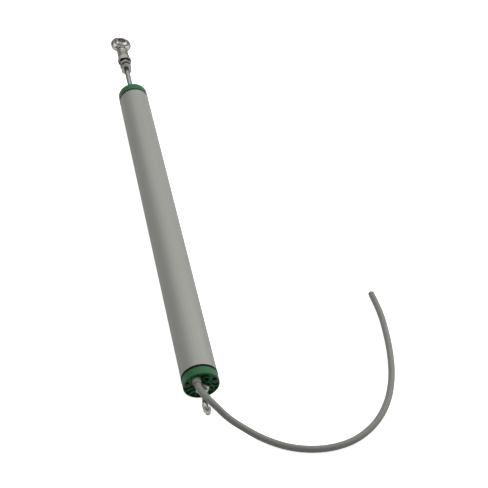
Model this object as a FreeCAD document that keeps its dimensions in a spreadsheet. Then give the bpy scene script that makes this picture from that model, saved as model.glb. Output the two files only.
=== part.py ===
import FreeCAD, Part
import math
import os
import re
import Sketcher
from FreeCAD import Placement, Rotation, Vector

# A linear potentiometer displacement sensor, in millimetres. The round case lies along Y with its
# cable end towards -Y and its rod end towards +Y. It rests on the plane z = 0. Places along the case
# are stations: distances from the cable end of the case tube.

doc = FreeCAD.newDocument("displacement_sensor")
sheet = doc.addObject("Spreadsheet::Sheet", "Dims")

# The sizes that can be set, each with what it measures
SIZES = [
    ("tube_diameter", 35, "outside of the case tube"),
    ("tube_wall", 2, "wall of the case tube"),
    ("tube_length", 453, "case tube from end to end"),
    ("gasket_thickness", 2, "flat gasket under each end cap"),
    ("gasket_inset", 0.6, "gasket edge below the tube surface"),
    ("rear_flange", 9, "cable end cap outside its gasket"),
    ("front_flange", 11, "rod end cap outside its gasket"),
    ("cap_chamfer", 0.7, "outer edge of both caps"),
    ("spigot_reach", 8, "spigot inside the tube"),
    ("screw_side_angle", 12, "side screws above the horizontal"),
    ("screw_diameter", 2.5, "cap screw thread"),
    ("screw_length", 14.5, "cap screw under its head"),
    ("screw_head_diameter", 4.5, "cap screw head"),
    ("screw_head_height", 2.5, "cap screw head"),
    ("screw_socket", 2, "hexagon socket across its flats"),
    ("screw_hole", 2.8, "screw hole in caps and gaskets"),
    ("screw_edge", 3.6, "cap screws inside the tube surface"),
    ("spigot_gap", 1.7, "screw holes outside the spigot"),
    ("counterbore_depth", 3, "screw pocket in the rod end cap"),
    ("port_diameter", 4.4, "screw channel rib inside the tube"),
    ("fit_gap", 0.02, "clearance of threads and pressed parts"),
    ("run_gap", 0.03, "clearance of bushes on the rod"),
    ("recess_depth", 2.5, "sunk face of the cable end cap"),
    ("rim_wall", 1.2, "rim round the sunk face"),
    ("boss_diameter", 14, "centre boss of the cable end cap"),
    ("rib_thickness", 1, "ribs on the sunk face"),
    ("rib_drop", 0.5, "rib tops below the rim"),
    ("well_diameter", 5.6, "blind filling well in the cable end cap"),
    ("well_depth", 4.5, "blind filling well"),
    ("well_angle", 57, "filling well from the horizontal"),
    ("cable_diameter", 6.4, "sheathed signal cable"),
    ("cable_angle", 116.6, "cable exit round the axis, from +X"),
    ("cable_outward", 0.55, "cable exit outside the middle of its room"),
    ("cable_inside", 10.5, "sheath end inside the tube"),
    ("grommet_wall", 0.8, "bend relief sleeve round the cable"),
    ("grommet_length", 10, "bend relief sleeve inside the cap"),
    ("grommet_show", 5, "bend relief sleeve outside the cap"),
    ("ferrule_wall", 0.4, "crimped ferrule on the sheath end"),
    ("ferrule_length", 2, "crimped ferrule"),
    ("core_diameter", 1.4, "insulated conductors"),
    ("core_show", 1.5, "conductors past the cut sheath"),
    ("insert_diameter", 8, "steel insert in the cable end cap"),
    ("insert_length", 16, "insert inside the cap"),
    ("insert_flange", 5, "hexagon of the insert"),
    ("insert_gap", 0.3, "hexagon clear of the bend relief and the well"),
    ("insert_turn", 18, "hexagon round the axis, degrees"),
    ("lower_thread", 5, "thread of the cable end eye"),
    ("lower_nut_flats", 8, "its lock nut"),
    ("lower_nut_height", 3, "its lock nut"),
    ("lower_reach", 18.25, "lock nut face to eye centre"),
    ("lower_shank", 36, "eye centre to end of thread"),
    ("lower_head", 14.5, "outside of the eye"),
    ("lower_rim", 5.5, "width of the eye"),
    ("lower_race", 11.6, "race seat in the eye"),
    ("lower_race_width", 4.8, "race in the eye"),
    ("lower_ball", 10, "ball of the joint"),
    ("lower_ball_width", 7.5, "ball over its flats"),
    ("lower_bore", 5, "pin hole of the ball"),
    ("lower_roll", 82, "eye turned about the case axis, degrees"),
    ("ball_gap", 0.05, "ball in its race"),
    ("rod_diameter", 8, "control rod"),
    ("rod_exposed", 56.5, "rod from cap face to lock nut"),
    ("rod_thread", 7.9, "threaded end of the rod"),
    ("rod_nut_flats", 13, "lock nut on the rod"),
    ("rod_nut_height", 4, "lock nut on the rod"),
    ("collar_flats", 13, "adapter between rod and eye"),
    ("collar_length", 7, "hexagon of the adapter"),
    ("collar_bore_depth", 6, "rod thread in the adapter"),
    ("collar_turn", 14, "hexagon round the rod, degrees"),
    ("stud_length", 18.5, "adapter stud"),
    ("upper_thread", 10, "thread of the rod end eye"),
    ("upper_nut_flats", 17, "its lock nut"),
    ("upper_nut_height", 7, "its lock nut"),
    ("upper_height", 43, "base to centre of the eye"),
    ("upper_base_flats", 17, "hexagon base of the eye"),
    ("upper_base_height", 8, "hexagon base of the eye"),
    ("upper_thread_depth", 20, "tapped hole in the base"),
    ("upper_neck", 15.4, "neck of the eye"),
    ("upper_head", 28, "outside of the eye"),
    ("upper_rim", 10.5, "width of the eye"),
    ("upper_race", 22, "race seat in the eye"),
    ("upper_race_width", 9.5, "race in the eye"),
    ("upper_ball", 19.05, "ball of the joint"),
    ("upper_ball_width", 14, "ball over its flats"),
    ("upper_bore", 10, "pin hole of the ball"),
    ("upper_roll", 14, "eye turned about the rod, degrees"),
    ("carrier_diameter", 14, "bearing carrier"),
    ("carrier_length", 49, "bearing carrier"),
    ("carrier_seat", 15, "its seat from the spigot end"),
    ("bush_diameter", 10, "rod bushes"),
    ("bush_length", 12, "rod bushes"),
    ("seal_wall", 2.5, "rod wiper seal round the rod"),
    ("seal_depth", 4, "seal pocket in the rod end cap"),
    ("seal_lip", 0.6, "lip of the seal proud of the cap"),
    ("bumper_thickness", 3, "rubber end stop at the rod end"),
    ("stop_length", 8, "rubber end stop at the cable end"),
    ("stop_diameter", 8, "rubber end stop at the cable end"),
    ("retract_left", 15, "travel left towards the cable end"),
    ("stop_gap", 1, "carriage to stop at the end of travel"),
    ("board_thickness", 1.6, "track board"),
    ("board_edge", 8, "board edges inside the tube surface"),
    ("board_depth", 8.4, "track side of the board above the tube surface"),
    ("board_start", 12, "board station"),
    ("board_end_gap", 13, "board to the rod end spigot"),
    ("board_play", 0.15, "board in its slots"),
    ("rail_grip", 1.4, "overlap of rail and board"),
    ("rail_lip", 1.4, "rail above the board"),
    ("rail_wall", 3.2, "rail beside the board"),
    ("track_gap", 3, "between the two tracks"),
    ("track_margin", 1.1, "tracks clear of the rails"),
    ("track_start", 12, "board end to the tracks"),
    ("track_end", 4, "tracks to the other board end"),
    ("track_thickness", 0.1, "both printed tracks"),
    ("pin_diameter", 1, "solder pins"),
    ("pin_margin", 3.1, "outer solder pins clear of the rails"),
    ("pin_station", 18, "solder pins"),
    ("wire_diameter", 1.2, "lead wires inside the case"),
    ("carriage_gap", 0.4, "carriage clear of the screw channels"),
    ("carriage_float", 0.3, "carriage above the rails"),
    ("carriage_length", 40, "slider carriage"),
    ("key_width", 8, "guide key on the carriage"),
    ("key_gap", 0.8, "key below the tube wall"),
    ("coupling_ball_diameter", 9, "ball on the inner end of the rod"),
    ("coupling_back", 24, "ball centre from the carriage back"),
    ("coupling_spigot", 4, "rod spigot in the ball"),
    ("coupling_shoulder", 4.3, "rod shoulder from the ball centre"),
    ("coupling_ring_diameter", 12, "screwed ring that holds the ball"),
    ("coupling_ring_length", 8, "screwed ring"),
    ("coupling_nose", 2.8, "nose of the ring towards the ball"),
    ("coupling_slot", 2.2, "nose of the ring from the ball centre"),
    ("coupling_neck", 6, "slim neck of the rod through the ring"),
    ("coupling_play", 0.6, "ring clear of the neck"),
    ("contact_thickness", 0.5, "plate of the wiper contacts"),
    ("contact_margin", 0.9, "plate clear of the rails"),
    ("contact_length", 14, "plate of the wiper contacts"),
    ("finger_margin", 0.6, "outer fingers clear of the track edges"),
    ("finger_lift", 0.1, "finger tips above the tracks"),
]

# Places that follow from the sizes
FOLLOWING = [
    ("axis_height", "tube_diameter / 2"),
    ("tube_inside", "tube_diameter / 2 - tube_wall"),
    ("tube_middle", "tube_diameter / 2 - tube_wall / 2"),
    ("cap_radius", "tube_diameter / 2 - 0.1"),
    ("screw_pitch_radius", "tube_diameter / 2 - screw_edge"),
    ("spigot_diameter", "2 * (screw_pitch_radius - screw_hole / 2 - spigot_gap)"),
    ("rear_face", "-(gasket_thickness + rear_flange)"),
    ("front_face", "tube_length + gasket_thickness + front_flange"),
    ("spigot_station", "tube_length - spigot_reach"),
    ("nut_seat", "front_face + rod_exposed"),
    ("collar_station", "nut_seat + rod_nut_height"),
    ("eye_nut_station", "collar_station + collar_length"),
    ("upper_eye", "eye_nut_station + upper_nut_height + upper_height"),
    ("lower_eye", "rear_face - insert_flange - lower_nut_height - lower_reach"),
    ("origin_station", "(upper_eye + upper_head / 2 + lower_eye - lower_head / 2) / 2"),
    ("carriage_station", "spigot_reach + stop_length + stop_gap + retract_left"),
    ("ball_station", "carriage_station + coupling_back"),
    ("carrier_station", "spigot_station + carrier_seat - carrier_length"),
    ("board_length", "spigot_station - board_end_gap - board_start"),
    ("rim_inside", "cap_radius - rim_wall"),
    ("cable_radius", "cable_diameter / 2"),
    ("sleeve_radius", "cable_radius + grommet_wall"),
    ("cable_orbit", "(insert_diameter / 2 + tube_inside) / 2 + cable_outward"),
    ("cable_left", "-cable_orbit * cos(cable_angle)"),
    ("cable_rise", "cable_orbit * sin(cable_angle)"),
    ("insert_flats", "2 * (cable_orbit - sleeve_radius - insert_gap)"),
    ("well_radius", "insert_flats / 2 + well_diameter / 2 + insert_gap"),
    ("seal_diameter", "rod_diameter + 2 * seal_wall"),
    ("board_width", "tube_diameter - 2 * board_edge"),
    ("board_drop", "tube_diameter / 2 - board_depth"),
    ("rail_inner", "board_width / 2 - rail_grip"),
    ("rail_outer", "board_width / 2 + rail_wall"),
    ("pin_spacing", "rail_inner - pin_margin"),
    ("track_edge", "rail_inner - track_margin"),
    ("track_width", "track_edge - track_gap / 2"),
    ("track_offset", "(track_edge + track_gap / 2) / 2"),
    ("track_top", "track_thickness - board_drop"),
    ("carriage_diameter", "2 * (screw_pitch_radius - port_diameter / 2 - carriage_gap)"),
    ("carriage_drop", "board_drop - rail_lip - carriage_float"),
    ("key_rise", "tube_inside - key_gap"),
    ("ring_start", "coupling_slot + coupling_nose"),
    ("coupling_mouth", "coupling_neck + 2 * coupling_play"),
    ("contact_width", "2 * (rail_inner - contact_margin)"),
    ("finger_spacing", "(track_width - finger_margin) / 3"),
    ("finger_width", "finger_spacing * 0.6"),
]

for row, (name, value, meaning) in enumerate(SIZES, start=1):
    sheet.set(f"A{row}", meaning)
    sheet.set(f"B{row}", str(value))
    sheet.setAlias(f"B{row}", name)
for row, (name, formula) in enumerate(FOLLOWING, start=len(SIZES) + 2):
    sheet.set(f"A{row}", name.replace("_", " "))
    sheet.set(f"B{row}", "=" + formula)
    sheet.setAlias(f"B{row}", name)
doc.recompute()

SIDE_SCREWS = ("screw_side_angle", "180 - screw_side_angle", "270")
nodes = []


def size(name):
    return float(sheet.get(name))


def bind(thing, prop, formula):
    # sizes are written by their bare names, which all hold an underscore
    thing.setExpression(prop, re.sub(r"\b([a-z]+(?:_[a-z]+)+)\b", r"Dims.\1", formula))


def place(thing, station, x="0", z="0", roll=None):
    if roll:
        thing.Placement = Placement(Vector(), Rotation(Vector(0, 1, 0), 1))
        bind(thing, "Placement.Rotation.Angle", roll)
    bind(thing, "Placement.Base.x", x)
    bind(thing, "Placement.Base.y", f"{station} - origin_station")
    bind(thing, "Placement.Base.z", f"axis_height + ({z})")


def keep(thing, label, station, x="0", z="0", roll=None):
    thing.Label = label
    place(thing, station, x, z, roll)
    nodes.append(thing)


# Solids of one piece are first drawn round its own origin, with the case axis along Y
def bar(name, radius, start, length, x="0", z="0", axis="Y"):
    solid = doc.addObject("Part::Cylinder", name)
    tilt = {"Y": Rotation(Vector(1, 0, 0), -90), "Z": Rotation()}[axis]
    solid.Placement = Placement(Vector(), tilt)
    bind(solid, "Radius", radius)
    bind(solid, "Height", length)
    bind(solid, "Placement.Base.x", x)
    bind(solid, "Placement.Base.y", start if axis == "Y" else "0")
    bind(solid, "Placement.Base.z", z if axis == "Y" else start)
    return solid


def block(name, wide, long, high, x, y, z):
    solid = doc.addObject("Part::Box", name)
    for prop, formula in (("Length", wide), ("Width", long), ("Height", high)):
        bind(solid, prop, formula)
    for prop, formula in (("x", x), ("y", y), ("z", z)):
        bind(solid, f"Placement.Base.{prop}", formula)
    return solid


def sphere(name, radius, station="0"):
    solid = doc.addObject("Part::Sphere", name)
    bind(solid, "Radius", radius)
    bind(solid, "Placement.Base.y", station)
    return solid


def fuse(name, solids):
    whole = doc.addObject("Part::MultiFuse", name)
    whole.Shapes = solids
    return whole


def cut(name, base, tools):
    result = doc.addObject("Part::Cut", name)
    result.Base = base
    result.Tool = tools[0] if len(tools) == 1 else fuse(name + "_tools", tools)
    return result


# Bodies are drawn round their own origin too
def sketch_on(body, role, offset="0", turn=0.0):
    sketch = body.newObject("Sketcher::SketchObject", body.Name + "_sketch")
    origin_plane = next(item for item in body.Origin.OriginFeatures if item.Role == role)
    sketch.AttachmentSupport = [(origin_plane, "")]
    sketch.MapMode = "FlatFace"
    sketch.AttachmentOffset = Placement(Vector(), Rotation(Vector(0, 0, 1), turn))
    bind(sketch, "AttachmentOffset.Base.z", offset)
    return sketch


def hold(sketch, kind, first, point, formula, start):
    number = sketch.addConstraint(Sketcher.Constraint(kind, -1, 1, first, point, start))
    name = f"{kind[-1].lower()}{number}"
    sketch.renameConstraint(number, name)
    bind(sketch, f"Constraints.{name}", formula)


def outline(sketch, corners):
    # each corner is a pair of formulas, and the lines start as a rough shape that they then pull into place
    base = sketch.GeometryCount
    count = len(corners)
    rough = [Vector(5 + i % 2, i + 1, 0) for i in range(count)]
    for i in range(count):
        sketch.addGeometry(Part.LineSegment(rough[i], rough[(i + 1) % count]), False)
    for i in range(count):
        sketch.addConstraint(Sketcher.Constraint("Coincident", base + i, 2, base + (i + 1) % count, 1))
    for i, (across, along) in enumerate(corners):
        hold(sketch, "DistanceX", base + i, 1, across, rough[i].x)
        hold(sketch, "DistanceY", base + i, 1, along, rough[i].y)


def circle(sketch, radius, x="0", y="0"):
    number = sketch.addGeometry(Part.Circle(Vector(1, 1, 0), Vector(0, 0, 1), 1), False)
    hold(sketch, "DistanceX", number, 3, x, 1)
    hold(sketch, "DistanceY", number, 3, y, 1)
    limit = sketch.addConstraint(Sketcher.Constraint("Radius", number, 1))
    sketch.renameConstraint(limit, f"r{limit}")
    bind(sketch, f"Constraints.r{limit}", radius)


def hexagon(sketch, flats, turn="0"):
    corner = f"{flats} / 2 / cos(30)"
    outline(sketch, [(f"{corner} * cos({60 * i} + {turn})", f"{corner} * sin({60 * i} + {turn})")
                     for i in range(6)])


def spun(body, kind, corners):
    # corners are (radius, distance along Y), turned once round the Y axis
    sketch = sketch_on(body, "XY_Plane")
    outline(sketch, corners)
    feature = body.newObject(f"PartDesign::{kind}", f"{body.Name}_{kind}")
    feature.Profile = sketch
    feature.ReferenceAxis = (sketch, ["V_Axis"])
    feature.Angle = 360
    return feature


def raised(body, sketch, length, back=False):
    # sketches across the axis face -Y, so a pad towards +Y is reversed
    pad = body.newObject("PartDesign::Pad", body.Name + "_pad")
    pad.Profile = sketch
    pad.Reversed = not back
    bind(pad, "Length", length)


def sunk(body, sketch, length=None, back=False):
    pocket = body.newObject("PartDesign::Pocket", body.Name + "_pocket")
    pocket.Profile = sketch
    pocket.Reversed = back
    if length:
        bind(pocket, "Length", length)
    else:
        pocket.Type = "ThroughAll"


def new_body(name):
    return doc.addObject("PartDesign::Body", name + "_body")


def turned(label, station, corners, roll=None):
    body = new_body(label)
    spun(body, "Revolution", corners)
    keep(body, label, station, roll=roll)
    return body


def screw_places():
    return [(f"screw_pitch_radius * cos({angle})", f"screw_pitch_radius * sin({angle})") for angle in SIDE_SCREWS]


def nut(label, station, flats, height, bore, turn="0"):
    # hexagon nut with both faces chamfered towards the corners
    body = new_body(label)
    sketch = sketch_on(body, "XZ_Plane")
    hexagon(sketch, flats, turn)
    circle(sketch, bore)
    raised(body, sketch, height)
    chamfered(body, flats, "0", "1")
    chamfered(body, flats, height, "-1")
    keep(body, label, station)


def chamfered(body, flats, face, inwards):
    corner = f"{flats} / 2 / cos(30) + 0.2"
    slope = f"{face} + {inwards} * ({flats} * 0.06 + 0.15)"
    spun(body, "Groove", [(f"{flats} * 0.47", face), (corner, face), (corner, slope)])


def case_tube():
    body = new_body("case_tube")
    wall = sketch_on(body, "XZ_Plane")
    circle(wall, "tube_diameter / 2")
    circle(wall, "tube_diameter / 2 - tube_wall")
    raised(body, wall, "tube_length")
    for side in ("1", "-1"):
        inner = f"{side} * rail_inner"
        outer = f"{side} * rail_outer"
        rail = sketch_on(body, "XZ_Plane")
        outline(rail, [
            (inner, "-sqrt(tube_middle ^ 2 - rail_inner ^ 2)"), (outer, "-sqrt(tube_middle ^ 2 - rail_outer ^ 2)"),
            (outer, "rail_lip - board_drop"), (inner, "rail_lip - board_drop"),
        ])
        raised(body, rail, "tube_length")
        slot = sketch_on(body, "XZ_Plane")
        low = "-(board_drop + board_thickness + board_play)"
        high = "board_play - board_drop"
        deep = f"{side} * (board_width / 2 + board_play)"
        open_side = f"{inner} - {side} * 0.5"
        outline(slot, [(open_side, low), (deep, low), (deep, high), (open_side, high)])
        sunk(body, slot)
    for x, z in screw_places():
        rib = sketch_on(body, "XZ_Plane")
        circle(rib, "port_diameter / 2", x, z)
        raised(body, rib, "tube_length")
    ports = sketch_on(body, "XZ_Plane")
    for x, z in screw_places():
        circle(ports, "screw_diameter / 2 + fit_gap", x, z)
    sunk(body, ports)
    keep(body, "case_tube", "0")


def gasket(label, station, with_cable):
    disc = bar(label + "_disc", "tube_diameter / 2 - gasket_inset", "0", "gasket_thickness")
    holes = [bar(label + "_middle", "spigot_diameter / 2 + fit_gap", "-1", "gasket_thickness + 2")]
    for number, (x, z) in enumerate(screw_places()):
        holes.append(bar(f"{label}_hole{number}", "screw_hole / 2", "-1", "gasket_thickness + 2", x, z))
    if with_cable:
        holes.append(bar(label + "_notch", "sleeve_radius + fit_gap", "-1",
                         "gasket_thickness + 2", "-cable_left", "cable_rise"))
    keep(cut(label + "_cut", disc, holes), label, station)


RIB_ANGLES = (-65, -40, -15, 195, 220, 245)
CROSS_RIB = -68


def rear_cap():
    # moulded cap: rim, sunk face with radial ribs, centre boss, cable boss and filling well
    body = new_body("rear_cap")
    inner_end = "rear_flange + gasket_thickness + spigot_reach"
    spun(body, "Revolution", [
        ("0", "0"), ("cap_radius - cap_chamfer", "0"), ("cap_radius", "cap_chamfer"),
        ("cap_radius", "rear_flange"), ("spigot_diameter / 2", "rear_flange"),
        ("spigot_diameter / 2", inner_end), ("0", inner_end),
    ])
    spun(body, "Groove", [
        ("boss_diameter / 2", "0"), ("rim_inside", "0"),
        ("rim_inside", "recess_depth"), ("boss_diameter / 2 + 0.2", "recess_depth"),
    ])
    for angle in RIB_ANGLES:
        rib = sketch_on(body, "XZ_Plane", "-rib_drop", angle)
        near = "boss_diameter / 2 - 0.4"
        far = "rim_inside + 0.4"
        outline(rib, [(near, "-rib_thickness / 2"), (far, "-rib_thickness / 2"),
                      (far, "rib_thickness / 2"), (near, "rib_thickness / 2")])
        raised(body, rib, "recess_depth - rib_drop + 0.1")
    web = sketch_on(body, "XZ_Plane", "-rib_drop", CROSS_RIB)
    side = "(boss_diameter / 2 + rib_thickness)"
    end = f"sqrt(rim_inside ^ 2 - {side} ^ 2) - 0.2"
    outline(web, [("0", side), (end, side), (end, f"{side} + rib_thickness"), ("0", f"{side} + rib_thickness")])
    raised(body, web, "recess_depth - rib_drop + 0.1")
    well_x = "well_radius * cos(well_angle)"
    well_z = "well_radius * sin(well_angle)"
    for radius, x, z in (("sleeve_radius + 0.9", "-cable_left", "cable_rise"),
                         ("well_diameter / 2 + 1", well_x, well_z)):
        boss = sketch_on(body, "XZ_Plane")
        circle(boss, radius, x, z)
        raised(body, boss, "recess_depth + 0.1")
    for radius, x, z, depth in (
            ("insert_diameter / 2 + fit_gap", "0", "0", "insert_length"),
            ("well_diameter / 2", well_x, well_z, "well_depth"),
            ("sleeve_radius + fit_gap", "-cable_left", "cable_rise", "grommet_length"),
            ("cable_radius + fit_gap", "-cable_left", "cable_rise", None)):
        hole = sketch_on(body, "XZ_Plane")
        circle(hole, radius, x, z)
        sunk(body, hole, depth)
    holes = sketch_on(body, "XZ_Plane")
    for x, z in screw_places():
        circle(holes, "screw_hole / 2", x, z)
    sunk(body, holes)
    keep(body, "rear_cap", "rear_face")


def front_cap():
    body = new_body("front_cap")
    flange = "spigot_reach + gasket_thickness"
    face = f"{flange} + front_flange"
    mouth = f"{face} - seal_depth"
    carrier = "carrier_diameter / 2 + fit_gap"
    spun(body, "Revolution", [
        (carrier, "0"), ("spigot_diameter / 2", "0"), ("spigot_diameter / 2", flange),
        ("cap_radius", flange), ("cap_radius", f"{face} - cap_chamfer"),
        ("cap_radius - cap_chamfer", face), ("seal_diameter / 2 + fit_gap", face),
        ("seal_diameter / 2 + fit_gap", mouth), ("rod_diameter / 2 + 0.4", mouth),
        ("rod_diameter / 2 + 0.4", "carrier_seat"), (carrier, "carrier_seat"),
    ])
    pockets = sketch_on(body, "XZ_Plane", f"-({face})")
    for x, z in screw_places():
        circle(pockets, "screw_head_diameter / 2 + 0.2", x, z)
    sunk(body, pockets, "counterbore_depth", back=True)
    holes = sketch_on(body, "XZ_Plane")
    for x, z in screw_places():
        circle(holes, "screw_hole / 2", x, z)
    sunk(body, holes)
    keep(body, "front_cap", "spigot_station")


def cap_screws(label, seat, inwards):
    # three socket head screws, drawn from the seat of their heads
    screws = []
    for number, (x, z) in enumerate(screw_places()):
        name = f"{label}{number}"
        if inwards > 0:
            shank_start, head_start = "0", "-screw_head_height"
            socket_start = "-screw_head_height - 0.1"
        else:
            shank_start, head_start = "-screw_length", "0"
            socket_start = "screw_head_height / 2"
        shank = bar(name + "_shank", "screw_diameter / 2", shank_start, "screw_length", x, z)
        head = bar(name + "_head", "screw_head_diameter / 2", head_start, "screw_head_height", x, z)
        socket = doc.addObject("Part::Prism", name + "_socket")
        socket.Polygon = 6
        socket.Placement = Placement(Vector(), Rotation(Vector(1, 0, 0), -90))
        bind(socket, "Circumradius", "screw_socket / 2 / cos(30)")
        bind(socket, "Height", "screw_head_height / 2 + 0.1")
        bind(socket, "Placement.Base.x", x)
        bind(socket, "Placement.Base.y", socket_start)
        bind(socket, "Placement.Base.z", z)
        screws.append(cut(name, fuse(name + "_blank", [shank, head]), [socket]))
    group = doc.addObject("Part::Compound", label + "_group")
    group.Links = screws
    keep(group, label, seat)


def eye_ring(body, head, rim, race):
    # ring of the eye: a round rim cut off flat at the race seat, spun about the pin axis
    sketch = sketch_on(body, "XZ_Plane")
    head_radius, rim_radius, race_radius = size(head) / 2, size(rim) / 2, size(race) / 2
    middle = head_radius - rim_radius
    half = math.acos((race_radius - middle) / rim_radius)
    top = Vector(race_radius, rim_radius * math.sin(half), 0)
    low = Vector(race_radius, -rim_radius * math.sin(half), 0)
    round_side = Part.ArcOfCircle(Part.Circle(Vector(middle, 0, 0), Vector(0, 0, 1), rim_radius), -half, half)
    sketch.addGeometry(round_side, False)
    sketch.addGeometry(Part.LineSegment(top, low), False)
    sketch.addConstraint(Sketcher.Constraint("Coincident", 0, 2, 1, 1))
    sketch.addConstraint(Sketcher.Constraint("Coincident", 0, 1, 1, 2))
    sketch.addConstraint(Sketcher.Constraint("Vertical", 1))
    sketch.addConstraint(Sketcher.Constraint("PointOnObject", 0, 3, -1))
    hold(sketch, "DistanceX", 0, 3, f"{head} / 2 - {rim} / 2", middle)
    hold(sketch, "DistanceX", 1, 1, f"{race} / 2 + fit_gap", race_radius)
    limit = sketch.addConstraint(Sketcher.Constraint("Radius", 0, rim_radius))
    sketch.renameConstraint(limit, "rim")
    bind(sketch, "Constraints.rim", f"{rim} / 2")
    ring = body.newObject("PartDesign::Revolution", body.Name + "_ring")
    ring.Profile = sketch
    ring.ReferenceAxis = (sketch, ["V_Axis"])
    ring.Angle = 360
    seat = sketch_on(body, "XY_Plane")
    circle(seat, f"{race} / 2 + fit_gap")
    hole = body.newObject("PartDesign::Pocket", body.Name + "_seat")
    hole.Profile = seat
    hole.Type = "ThroughAll"
    hole.Midplane = True


def upper_eye_housing():
    # female rod end: hexagon base, waisted neck, round eye
    body = new_body("upper_eye_housing")
    base = "-upper_height"
    shoulder = "upper_base_height - upper_height"
    neck = "upper_neck / 2"
    root = "-(upper_race / 2 - 0.5)"
    core = "upper_base_flats / 2 - 0.1"
    spun(body, "Revolution", [
        ("0", base), (core, base), (core, shoulder), (f"{neck} + 0.5", f"{shoulder} + 2.5"),
        (f"{neck} + 0.1", f"{shoulder} + 6"), (neck, "-upper_head / 2 - 7"),
        (f"{neck} + 0.3", "-upper_head / 2 - 3"), ("upper_rim / 2 + 0.5", root), ("0", root),
    ])
    base_sketch = sketch_on(body, "XZ_Plane", "upper_height")
    hexagon(base_sketch, "upper_base_flats")
    raised(body, base_sketch, "upper_base_height")
    chamfered(body, "upper_base_flats", base, "1")
    chamfered(body, "upper_base_flats", shoulder, "-1")
    eye_ring(body, "upper_head", "upper_rim", "upper_race")
    tapped = sketch_on(body, "XZ_Plane", "upper_height")
    circle(tapped, "upper_thread / 2 + fit_gap")
    sunk(body, tapped, "upper_thread_depth")
    keep(body, "upper_eye_housing", "upper_eye", roll="upper_roll")


def lower_eye_housing():
    # male rod end: round eye, short neck, threaded shank
    body = new_body("lower_eye_housing")
    thread = "lower_thread / 2"
    root = "lower_race / 2 - 0.5"
    spun(body, "Revolution", [
        ("0", root), ("lower_rim / 2 + 0.3", root), (f"{thread} + 0.4", "lower_head / 2 + 0.4"),
        (thread, "lower_head / 2 + 1.6"), (thread, "lower_shank - 0.8"),
        (f"{thread} - 0.8", "lower_shank"), ("0", "lower_shank"),
    ])
    eye_ring(body, "lower_head", "lower_rim", "lower_race")
    keep(body, "lower_eye_housing", "lower_eye", roll="lower_roll")


def eye_race(label, station, race, width, ball, roll):
    blank = bar(label + "_blank", f"{race} / 2", f"-{width} / 2", width, axis="Z")
    hollow = sphere(label + "_hollow", f"{ball} / 2 + ball_gap")
    keep(cut(label + "_cut", blank, [hollow]), label, station, roll=roll)


def eye_ball(label, station, ball, width, bore, roll):
    whole = sphere(label + "_sphere", f"{ball} / 2")
    slab = bar(label + "_slab", f"{ball} / 2 + 1", f"-{width} / 2", width, axis="Z")
    common = doc.addObject("Part::MultiCommon", label + "_common")
    common.Shapes = [whole, slab]
    hole = bar(label + "_hole", f"{bore} / 2", f"-{width} / 2 - 1", f"{width} + 2", axis="Z")
    keep(cut(label + "_cut", common, [hole]), label, station, roll=roll)


def cable_end_pieces():
    insert = new_body("rear_insert")
    waist = "insert_diameter / 2 - 0.5"
    spun(insert, "Revolution", [
        ("0", "-insert_flange / 2"), ("insert_diameter / 2", "-insert_flange / 2"),
        ("insert_diameter / 2", "insert_length * 0.4"), (waist, "insert_length * 0.45"),
        (waist, "insert_length * 0.55"), ("insert_diameter / 2", "insert_length * 0.6"),
        ("insert_diameter / 2", "insert_length"), ("0", "insert_length"),
    ])
    flange = sketch_on(insert, "XZ_Plane", "insert_flange")
    hexagon(flange, "insert_flats", "insert_turn")
    raised(insert, flange, "insert_flange")
    chamfered(insert, "insert_flats", "-insert_flange", "1")
    tapped = sketch_on(insert, "XZ_Plane", "insert_flange")
    circle(tapped, "lower_thread / 2 + fit_gap")
    sunk(insert, tapped)
    keep(insert, "rear_insert", "rear_face")
    nut("lower_lock_nut", "rear_face - insert_flange - lower_nut_height", "lower_nut_flats", "lower_nut_height",
        "lower_thread / 2 + fit_gap", "insert_turn")
    lower_eye_housing()
    eye_race("lower_eye_race", "lower_eye", "lower_race", "lower_race_width", "lower_ball", "lower_roll")
    eye_ball("lower_eye_ball", "lower_eye", "lower_ball", "lower_ball_width", "lower_bore", "lower_roll")
    bore = "cable_radius + fit_gap"
    turned("cable_grommet", "rear_face", [
        (bore, "-grommet_show"), ("sleeve_radius - 0.3", "-grommet_show"), ("sleeve_radius", "-grommet_show + 0.6"),
        ("sleeve_radius", "grommet_length"), (bore, "grommet_length"),
    ])
    place(nodes[-1], "rear_face", "-cable_left", "cable_rise")
    keep(bar("cable_tail_bar", "cable_radius", "0", "1"), "cable_tail", "rear_face", "-cable_left", "cable_rise")
    bind(nodes[-1], "Height", "cable_inside - rear_face")
    ferrule = bar("ferrule_blank", "cable_radius + ferrule_wall", "0", "ferrule_length")
    keep(cut("ferrule_cut", ferrule, [bar("ferrule_hole", "cable_radius + fit_gap", "-1", "ferrule_length + 2")]),
         "cable_ferrule", "spigot_reach", "-cable_left", "cable_rise")
    keep(bar("rear_stop_bar", "stop_diameter / 2", "0", "stop_length"), "rear_stop", "spigot_reach")


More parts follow.
